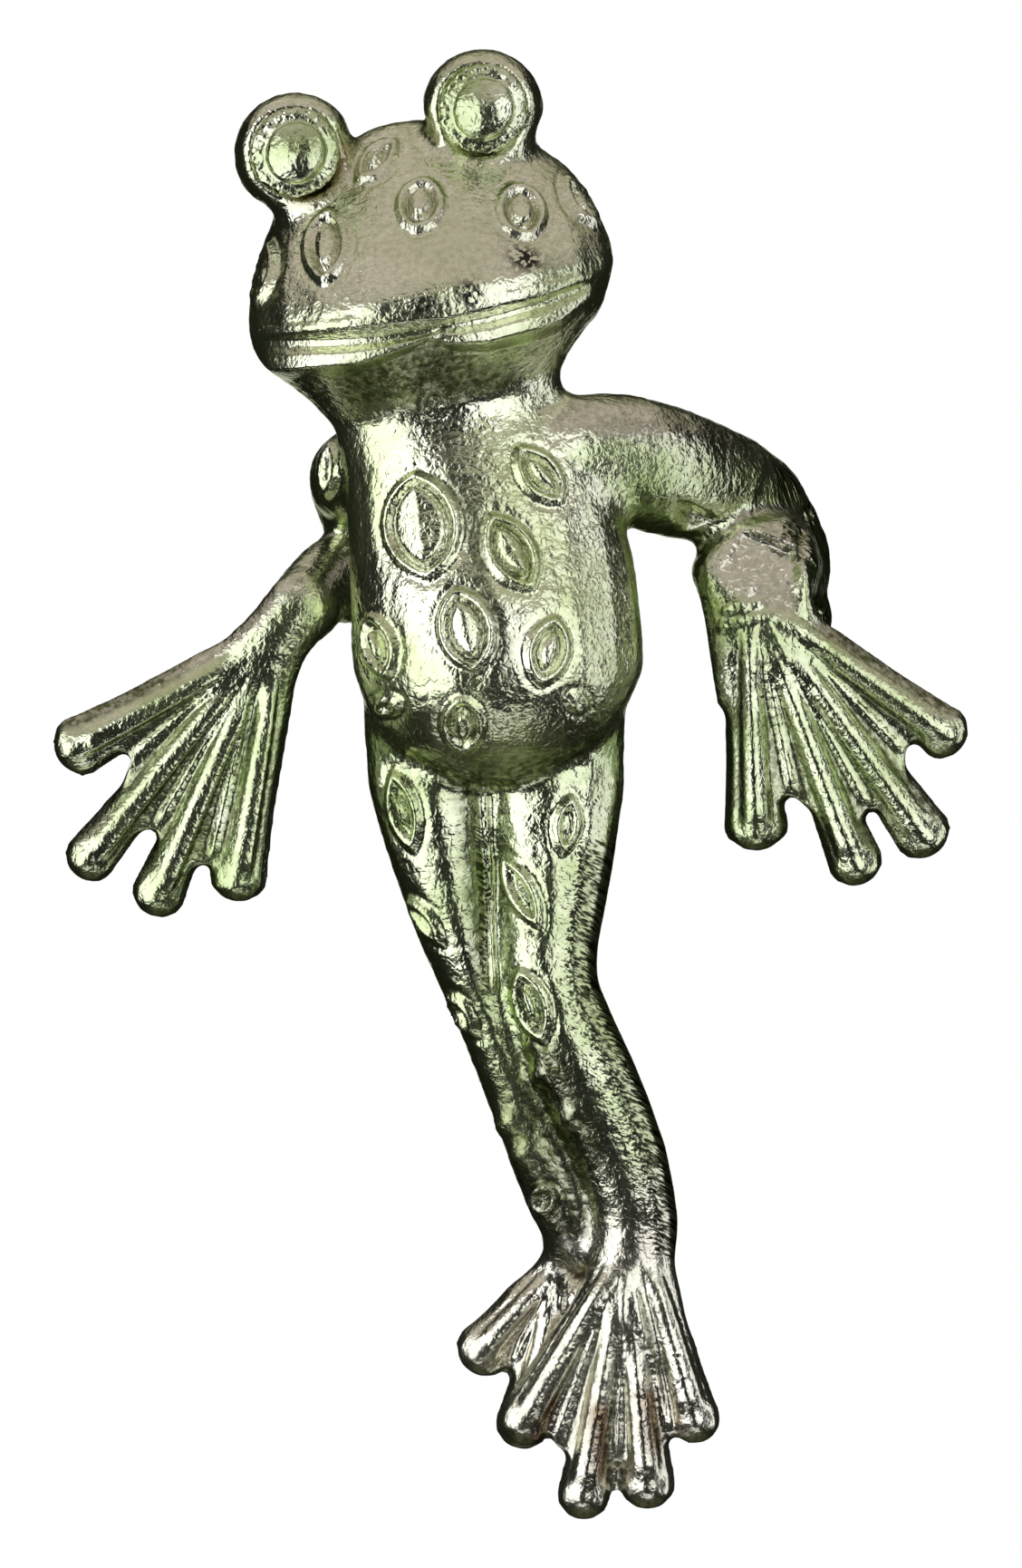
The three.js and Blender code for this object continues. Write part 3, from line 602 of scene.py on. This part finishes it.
# Arms: upper arms that reach back over the rim, elbows inside the pot, and forearms that come
# forward over the rim again. The front of the left forearm was filed flat, and the outside of the
# left elbow was linished.
ARM_SPOTS = ((-10.93, 10.31, 1.6, 4.1, -5),)
ELBOW_CRESCENT = (  # a groove with a raised lip beside it
    (((22.1, 8), (21.4, 5.5), (21.6, 2.3), (22.7, 0.9)), -0.35, 0.25),
    (((22.6, 8), (21.9, 5.5), (22.1, 2.3), (23.2, 0.9)), 0.2, 0.3),
)
FOREARM_WRINKLES = (
    (((18.6, 10.4), (17.4, 6.6), (16, 4.2)), 0.12, 0.4), (((18.2, 6.5), (21, 2.2)), 0.12, 0.4),
)
FOREARM_FLAT = ((1.9, -3.9), (8, -0.6))  # up the left forearm, and how far forward its flat is
FLAT_LEAN, FLAT_MIDDLE = 0.39, 14.3  # how much the flat rises across, and from where
FLAT_START, FLAT_END, FLAT_TOP = (12.5, 14), (20.5, 22), (7, 8)
FLAT_BLEND = 0.3  # mm over which it runs into the round of the arm
ELBOW_SIDE, ELBOW_TURN = (18.5, 20), (0.1, 0.4)  # across, and turned outwards: linished
TOP_TURN, TOP_PAINTED_DARK = (0.1, 0.5), 0.25  # what faces up is painted bare and darker, as the warm grey roof's reflection


def flatten_forearm(at, facing, shown):
    """Rubs the forearm down to its flat, and turns the way it faces to match."""
    (low, low_y), (high, high_y) = FOREARM_FLAT
    up = at[:, 2] + FLAT_LEAN * (at[:, 0] - FLAT_MIDDLE)
    zone = ease(*FLAT_START, at[:, 0]) * (1 - ease(*FLAT_END, at[:, 0])) * (1 - ease(*FLAT_TOP, up))
    over = np.interp(up, (low, high), (low_y, high_y)) - at[:, 1]
    over[shown:] -= facing[shown:, 1] * HEM / MM
    zone *= facing[:, 1] < 0
    at[:, 1] += zone * FLAT_BLEND * np.logaddexp(0, over / FLAT_BLEND)
    steep = (high_y - low_y) / (high - low)
    aside = FLAT_LEAN * steep
    flat = np.array([aside, -1, steep]) / math.hypot(aside, 1, steep)
    facing += (zone / (1 + np.exp(-over / FLAT_BLEND)))[:, None] * (flat - facing)
    facing /= np.linalg.norm(facing, axis=1)[:, None]


# Green plate as on the legs, that ran along a belt: fine lines down the elbow
elbow_plate = plated_zinc(
    "linished_green_plate", "#DFE7C8", "#BED094", "#D8E8B8", belt=(0.35, 0.3, -0.88)
)
for side, plate in (("left", elbow_plate), ("right", leg_plate)):
    arm, at, facing, dirt_and_shade, shown = part_off(side + "_arm_skin", side + "_arm")
    relief = sum(leaf_spot(at, *spot) for spot in ARM_SPOTS)
    relief += drawn(at, ELBOW_CRESCENT)
    relief += drawn(at, FOREARM_WRINKLES)
    if side == "left":
        flatten_forearm(at, facing, shown)
        paint(arm, "linished", ease(*ELBOW_SIDE, at[:, 0]) * ease(*ELBOW_TURN, facing[:, 0]))
    # What faces up is painted bare and darker, as the warm grey roof's reflection.
    facing_roof = ease(*TOP_TURN, facing[:, 2])
    dirt_and_shade += TOP_PAINTED_DARK * facing_roof
    paint(arm, "bare", facing_roof)
    finish_skin(arm, at, facing, dirt_and_shade, shown, relief, plate)
    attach(arm, "frog")
    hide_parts(side + "_arm")

# Hands: four webbed fingers each, that lie on the outside of the pot. The soft metal is bent at the
# wrist to hug the rim, and each hand's skin runs over the wrist.
HANDS = {  # wrist; turn, length and shift of each finger; the same for the web's notches
    "left": ((18.1, 1.5),
             ((2.2, 17.9, -0.4), (21.2, 21.3, 0), (35.8, 21.9, 0), (54.8, 17.9, 0)),
             ((11.5, 13.9, 0), (28.9, 16.5, 0), (44.4, 14.9, 0))),
    "right": ((-15.7, -1.9),
              ((-9.8, 18, 1.2), (-23.4, 20.2, 0.3), (-39.1, 20.3, 0), (-61.6, 16.3, 0)),
              ((-12.9, 15.2, 0), (-30, 14.3, 0), (-49.5, 11.7, 0))),
}
FINGER_RIDGES = {"left": DIGIT_RIDGE, "right": ((-1.4, 0), (-0.3, 0.5), (0.6, 0.66), (1, 0))}
FINGER_WEB_DIRT_AND_SHADE = 0.32
KNUCKLES, KNUCKLE = (  # the bumps over the left wrist; height and half width
    (15.9, 1.8), (16.9, 2.3), (17.9, 2.2), (16.3, 0.7), (17.3, 1.1), (18.4, 1.2), (16, -0.4),
    (17, -0.1), (18.1, 0.1), (19, 0.3),
), (0.3, 0.35)
WRIST_TURNS = {"left": 29, "right": -38}  # degrees from straight down towards the outside
for side, (root, fingers, notches) in HANDS.items():
    hand, at, facing, dirt_and_shade, shown = part_off(side + "_hand_skin", side + "_hand")
    relief = paw_relief(at, root, fingers, notches, FINGER_RIDGES[side])
    dirt_and_shade += web_dirt_and_shade(at, root, relief, FINGER_WEB_DIRT_AND_SHADE)
    relief += lumps(at, KNUCKLES, *KNUCKLE)
    if side == "left":
        flatten_forearm(at, facing, shown)
    relief += drawn(at, FOREARM_WRINKLES)
    # What faces up is painted bare and darker, as the warm grey roof's reflection.
    facing_roof = ease(*TOP_TURN, facing[:, 2])
    dirt_and_shade += TOP_PAINTED_DARK * facing_roof
    paint(hand, "bare", facing_roof)
    finish_skin(hand, at, facing, dirt_and_shade, shown, relief, leg_plate)
    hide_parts(side + "_hand")
    middle, turn = Vector(PAW_ROOTS[side + "_hand"]), math.radians(WRIST_TURNS[side])
    way = Vector((math.sin(turn), 0, -math.cos(turn)))
    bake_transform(hand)

# Head: a broad flat frog's head, tilted to its right, with a wide mouth cut into the casting
# and two eye mounds, each with a pebbled ring round the eye.
HEAD_SPOTS = (
    (-7.64, 31.3, 2.2, 4, -43), (-4.66, 28.14, 3.3, 3.9, -15), (-11.06, 25.34, 3.2, 5.3, -5),
    (2.17, 27.7, 3.4, 4, 20), (-15.47, 23.48, 1.8, 5, -15), (6.27, 28.51, 1.9, 4.4, 35),
)
MOUTH = ((-15.7, 19.35), (-9, 19.8), (-4, 20.36), (-3, 20.3), (0, 21.1), (3.7, 22), (7.2, 23.3))
LIP_FOLD = (
    (-15.7, 18.8), (-11, 18.7), (-7, 18.9), (-4.2, 19.3), (-2.8, 19.75), (0, 20.3), (3.7, 21.4),
    (7.2, 22.9),
)
LOWER_LIP = (
    (-13.7, 17.1), (-9, 17.4), (-7, 17.95), (-5, 18.6), (-4.2, 19), (-2.6, 18.7), (0, 18.9),
    (3.7, 19.9), (5, 20.5), (7.4, 22.3),
)
LIP_ROLLS = (  # 0 is the mouth, 1 the fold and 2 the lower lip's edge; and how far in that lies
    (-1, 0), (0, 0), (0.12, 0.1), (0.8, 0.75), (1.15, 0.75), (1.55, 0.25), (2.05, 0.2), (2.3, 0.5),
)
LIP_RIGHT, LIP_LEFT, LIP_BELOW = (-16.2, -15), (6.8, 7.8), (2.05, 2.6)  # where the rolls fade out
LIP_NOTCH, NOTCH_SQUEEZE, NOTCH = (-3.2, 19.1), 0.6, (-0.3, 0.35)  # in the middle of the lower lip
MUZZLE_SLICES, SLICE_HALF = np.arange(-15.5, 8, 0.5), 0.3
MUZZLE_UP, MUZZLE_REACH = 21.5, 3.5  # heights at which its foremost point is looked for
FORWARD_CURVE, BRINK_CURVE = 6, 3  # degrees of the curves through those points
CHIN_SHADE = ((((-9, 15.8), (-3, 17), (0.5, 15.5), (-3.5, 14)), 0.6, 2),)
EYE_MIDDLES = ((-0.6, 34.75), (-13.25, 31.9))
EYE_SEAT = ((3.5, 0.15, 0.6), (2.8, -0.15, 0.35))  # radius, height and half width round each eye
EYE_DIRT, UNDER_EYE, UNDER_SHARE = (3.2, 0.7, 0.7), (0.77, -0.64), (0.3, 0.8)  # by the right eye
CROWN_TURN, CROWN_ROOF_SHEEN = (0.2, 0.6), 0.6
WORN_SPOTS, WORN_SPOT = ((-1.4, 22.2), (-0.9, 21.4), (2, 24.6), (2.9, 24.2), (-4.3, 21.1)), (1, 0.8)
# Silver under green lacquer, as uneven as it left the mould: softer than the belly
head_plate = plated_zinc("green_lacquered_silver_plate", "#F0F2DE", "#D4DEB4", "#E4EECC")
head, at, facing, dirt_and_shade, shown = part_off("head_skin", "head")
relief = sum(leaf_spot(at, *spot) for spot in HEAD_SPOTS)

# The lips are rolled back from the muzzle, which is the foremost line of the head.
mouth, fold, edge = (np.interp(at[:, 0], *zip(*line)) for line in (MOUTH, LIP_FOLD, LOWER_LIP))
above, below = (mouth - at[:, 2]) / (mouth - fold), (fold - at[:, 2]) / (fold - edge)
down = np.where(above < 1, above, 1 + below)
muzzle = []
for across in MUZZLE_SLICES:
    in_slice = np.abs(at[:, 0] - across) < SLICE_HALF
    in_slice &= np.abs(at[:, 2] - MUZZLE_UP) < MUZZLE_REACH
    muzzle.append(at[in_slice][at[in_slice, 1].argmin()])
_, forward, up = zip(*muzzle)
front = np.polyval(np.polyfit(MUZZLE_SLICES, forward, FORWARD_CURVE), at[:, 0])
brink = np.polyval(np.polyfit(MUZZLE_SLICES, up, BRINK_CURVE), at[:, 0])
lips = ease(*LIP_RIGHT, at[:, 0]) * (1 - ease(*LIP_LEFT, at[:, 0])) * (1 - ease(*LIP_BELOW, down))
lips *= (at[:, 2] < brink) & (facing[:, 1] < 0)
at[:, 1] += lips * (front + np.interp(down, *zip(*LIP_ROLLS)) - at[:, 1])
relief *= 1 - lips
notch_x, notch_z = LIP_NOTCH
relief += ridge(np.hypot(at[:, 0] - notch_x, NOTCH_SQUEEZE * (at[:, 2] - notch_z)), *NOTCH)
relief += THROAT_SHARE * leaf_spot(at, *THROAT_SPOT)
# Painted shade under the chin, in the dirt's olive.
dirt_and_shade += drawn(at, CHIN_SHADE)
from_eyes = [np.hypot(at[:, 0] - x, at[:, 2] - z) for x, z in EYE_MIDDLES]
for away in from_eyes:
    relief += sum(ridge(away - radius, height, half) for radius, height, half in EYE_SEAT)
beneath = (at[:, (0, 2)] - EYE_MIDDLES[1]) @ UNDER_EYE / np.maximum(from_eyes[1], 0.1)
radius, depth, half = EYE_DIRT
paint(head, "bronze", ridge(from_eyes[1] - radius, depth, half) * ease(*UNDER_SHARE, beneath))
# The crown, where it faces up, is painted in the bare plate's colour as a reflection of the warm
# grey roof.
paint(head, "bare", CROWN_ROOF_SHEEN * ease(*CROWN_TURN, facing[:, 2]))
paint(head, "worn", lumps(at, WORN_SPOTS, *WORN_SPOT))
finish_skin(head, at, facing, dirt_and_shade, shown, relief, head_plate)
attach(head, "frog")
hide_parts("head")

# Eyes: two domes in the eye mounds, each with a pebbled ring round it. They are smoother than
# the rest, the green lacquer shows most in them, and they are worn flatter on one side.
EYE_DOME, EYE_DETAIL = 2.6 * MM, 6
EYE_GROOVE = (60, 6, -0.14 * MM)  # degrees from the front, half width in degrees, and height
EYE_RING = (77, 10, 0.5 * MM)
RING_PEBBLE, RING_PEBBLE_HEIGHT = 0.45 * MM, 0.4 * MM
WORN_WAY = Vector((-0.363, -0.9, 0.242)).normalized()  # forward, up and to the frog's right
WORN_FROM, WORN_SHARE = 0.35, 0.4  # beyond this share of the radius, and how much of it has gone
ring_pebbles = bpy.data.textures.new("ring_pebbles", "CLOUDS")
ring_pebbles.noise_scale = RING_PEBBLE
# Thick green lacquer on a polished dome: the deepest colour and the clearest mirror
eye_plate = plated_zinc("polished_eye_plate", "#E6EBD6", "#BCCB98", "#D8E8B4", crinkle=0.7)
for side in ("left", "right"):
    middle = sum(np.array(corner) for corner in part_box(side + "_eye")) / 2
    bpy.ops.object.select_all(action="DESELECT")
    bpy.ops.mesh.primitive_ico_sphere_add(
        subdivisions=EYE_DETAIL, radius=EYE_DOME, location=middle
    )
    eye = bpy.context.object
    eye.name = side + "_eye_dome"
    bpy.ops.object.transform_apply()
    out = (read(eye.data) - middle) / EYE_DOME
    aside = np.degrees(np.arccos(np.clip(-out[:, 1], -1, 1)))
    rings = sum(ridge(aside - turn, rise, half) for turn, half, rise in (EYE_GROOVE, EYE_RING))
    worn = WORN_SHARE * np.maximum(out @ WORN_WAY - WORN_FROM, 0)
    out -= worn[:, None] * WORN_WAY
    write(eye.data, middle + out * (EYE_DOME + rings)[:, None])
    ring = eye.vertex_groups.new(name="ring")
    ring.add(np.flatnonzero(np.abs(aside - EYE_RING[0]) < EYE_RING[1]).tolist(), 1, "REPLACE")
    apply(
        eye, "DISPLACE", texture=ring_pebbles, texture_coords="LOCAL", strength=RING_PEBBLE_HEIGHT,
        vertex_group="ring",
    )
    apply(eye, "DISPLACE", texture=pebbles, texture_coords="LOCAL", strength=PEBBLE_HEIGHT)
    bpy.ops.object.shade_smooth()
    eye.data.materials.append(eye_plate)
    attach(eye, "frog")
    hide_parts(side + "_eye")
bpy.data.objects.remove(casting)

# Studio: a white room with a pale floor well below the frog, and a soft lamp on each side.
# Polished metal mirrors all that is round it, so it stands in a photographer's tent of dark cloth
# with a warm grey roof, open behind the frog. Only reflections see the tent, and its colours are
# painted glow that stands in for lit cloth.
FLOOR_DROP, FLOOR_SIZE, FLOOR_SIDES, FLOOR_PAPER = 1.0, 4.0, 96, "#F4F3F0"
TENT_SIZE, TENT_OPENING = 0.36, 0.97  # radius, and the share of it where the opening starts
TENT_SEGMENTS, TENT_RINGS = 64, 32
TENT_WALL, TENT_ROOF, TENT_RUG = "#1B1D15", "#D9D2C6", "#5A5A46"
ROOF_CREASE, RUG_CREASE, CREASES = "#A29C8E", "#1C1D14", 7  # and how many lie across the radius
ROOF_FROM, ROOF_TO = 0.5 * TENT_SIZE, 0.75 * TENT_SIZE  # wall turns into roof between them
RUG_FROM, RUG_TO = -0.7 * TENT_SIZE, -0.95 * TENT_SIZE
LAMPS = {  # turn from the camera and height of its middle in degrees; size; how bright it looks
    "left_lamp": (-55, 2, 0.225, 0.28, 1.62),
    "front_lamp": (34, 9, 0.18, 0.24, 1.3),
    "right_lamp": (88, 0, 0.09, 0.3, 1.05),
    "low_lamp": (0, -60, 0.24, 0.05, 1.0),
}
LAMP_AWAY = 0.22


def matt(name, colour):
    """Paper or cloth without any shine."""
    material = bpy.data.materials.new(name)
    material.use_nodes = True
    shader = material.node_tree.nodes["Principled BSDF"]
    shader.inputs["Base Color"].default_value = linear(colour)
    shader.inputs["Roughness"].default_value = 1
    shader.inputs["Specular IOR Level"].default_value = 0
    return material


bpy.ops.object.select_all(action="DESELECT")
bpy.ops.mesh.primitive_circle_add(
    vertices=FLOOR_SIDES, radius=FLOOR_SIZE, fill_type="NGON", location=(0, 0, -FLOOR_DROP)
)
floor = bpy.context.object
floor.name = "floor"
floor.data.materials.append(matt("white_floor_paper", FLOOR_PAPER))
floor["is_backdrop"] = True

bpy.ops.object.select_all(action="DESELECT")
bpy.ops.mesh.primitive_uv_sphere_add(
    segments=TENT_SEGMENTS, ring_count=TENT_RINGS, radius=TENT_SIZE
)
tent = bpy.context.object
tent.name = "tent"
bpy.ops.object.mode_set(mode="EDIT")
bpy.ops.mesh.select_mode(type="FACE")
bpy.ops.mesh.select_all(action="DESELECT")
bpy.ops.object.mode_set(mode="OBJECT")
for face in tent.data.polygons:
    face.select = face.center.y > TENT_OPENING * TENT_SIZE
bpy.ops.object.mode_set(mode="EDIT")
bpy.ops.mesh.delete(type="FACE")
bpy.ops.mesh.select_all(action="SELECT")
bpy.ops.mesh.flip_normals()
bpy.ops.object.mode_set(mode="OBJECT")

# The tent's cloth gives no light to the frog's own shading: it is only there to be mirrored.
# The cloth is black and glows in painted colours, as lit cloth would look: a dark wall, a warm grey
# roof and a grey-green rug, with its folds painted darker.
glow_cloth = matt("tent_glow", "#000000")
glow_cloth.cycles.emission_sampling = "NONE"
tree = glow_cloth.node_tree
shader = tree.nodes["Principled BSDF"]
place = add(tree, "TexCoord", {}).outputs["Object"]
height = add(tree, "SeparateXYZ", {0: place}).outputs["Z"]
to_roof = add(tree, "MapRange", {0: height, 1: ROOF_FROM, 2: ROOF_TO}).outputs[0]
to_rug = add(tree, "MapRange", {0: height, 1: RUG_FROM, 2: RUG_TO}).outputs[0]
creases = add(
    tree, "TexNoise", {"Vector": place, "Scale": CREASES / TENT_SIZE, "Detail": 2}
).outputs[0]
crease = add(tree, "MapRange", {0: creases, 1: 0.42, 2: 0.6}).outputs[0]
roof, rug = (
    add(tree, "Mix", {0: crease, 6: linear(flat), 7: linear(folded)}, data_type="RGBA").outputs[2]
    for flat, folded in ((TENT_ROOF, ROOF_CREASE), (TENT_RUG, RUG_CREASE))
)
colour = linear(TENT_WALL)
for share, tone in ((to_roof, roof), (to_rug, rug)):
    colour = add(tree, "Mix", {0: share, 6: colour, 7: tone}, data_type="RGBA").outputs[2]
tree.links.new(colour, shader.inputs["Emission Color"])
shader.inputs["Emission Strength"].default_value = 1
tent.data.materials.append(glow_cloth)
tent.visible_camera = tent.visible_diffuse = False
tent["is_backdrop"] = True

for name, (turn, rise, width, height, radiance) in LAMPS.items():
    lamp = bpy.data.lights.new(name, "AREA")
    lamp.shape = "RECTANGLE"
    lamp.size, lamp.size_y = width, height
    lamp.energy = radiance * math.pi * width * height
    holder = bpy.data.objects.new(name, lamp)
    bpy.context.scene.collection.objects.link(holder)
    holder.visible_camera = False
    turn, rise = math.radians(turn), math.radians(rise)
    level = math.cos(rise)
    way = Vector((math.sin(turn) * level, -math.cos(turn) * level, math.sin(rise)))
    holder.location = way * LAMP_AWAY
    holder.rotation_euler = (-way).to_track_quat("-Z", "Y").to_euler()

room = bpy.data.worlds.new("white_room")
bpy.context.scene.world = room
room.use_nodes = True
room.node_tree.nodes["Background"].inputs["Color"].default_value = (1, 1, 1, 1)

# Camera: level with the frog's middle and square to it, from 1.5 m away through a long lens,
# so that hardly any perspective shows.
CAMERA_LENS = 502
CAMERA_PLACE = (0.00149, -1.5, -0.0112)
camera = bpy.data.objects.new("camera", bpy.data.cameras.new("camera"))
bpy.context.scene.collection.objects.link(camera)
camera.data.lens = CAMERA_LENS
camera.location = CAMERA_PLACE
camera.rotation_euler = (math.pi / 2, 0, 0)
bpy.context.scene.camera = camera
bpy.context.scene.view_settings.view_transform = "Standard"

low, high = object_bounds()
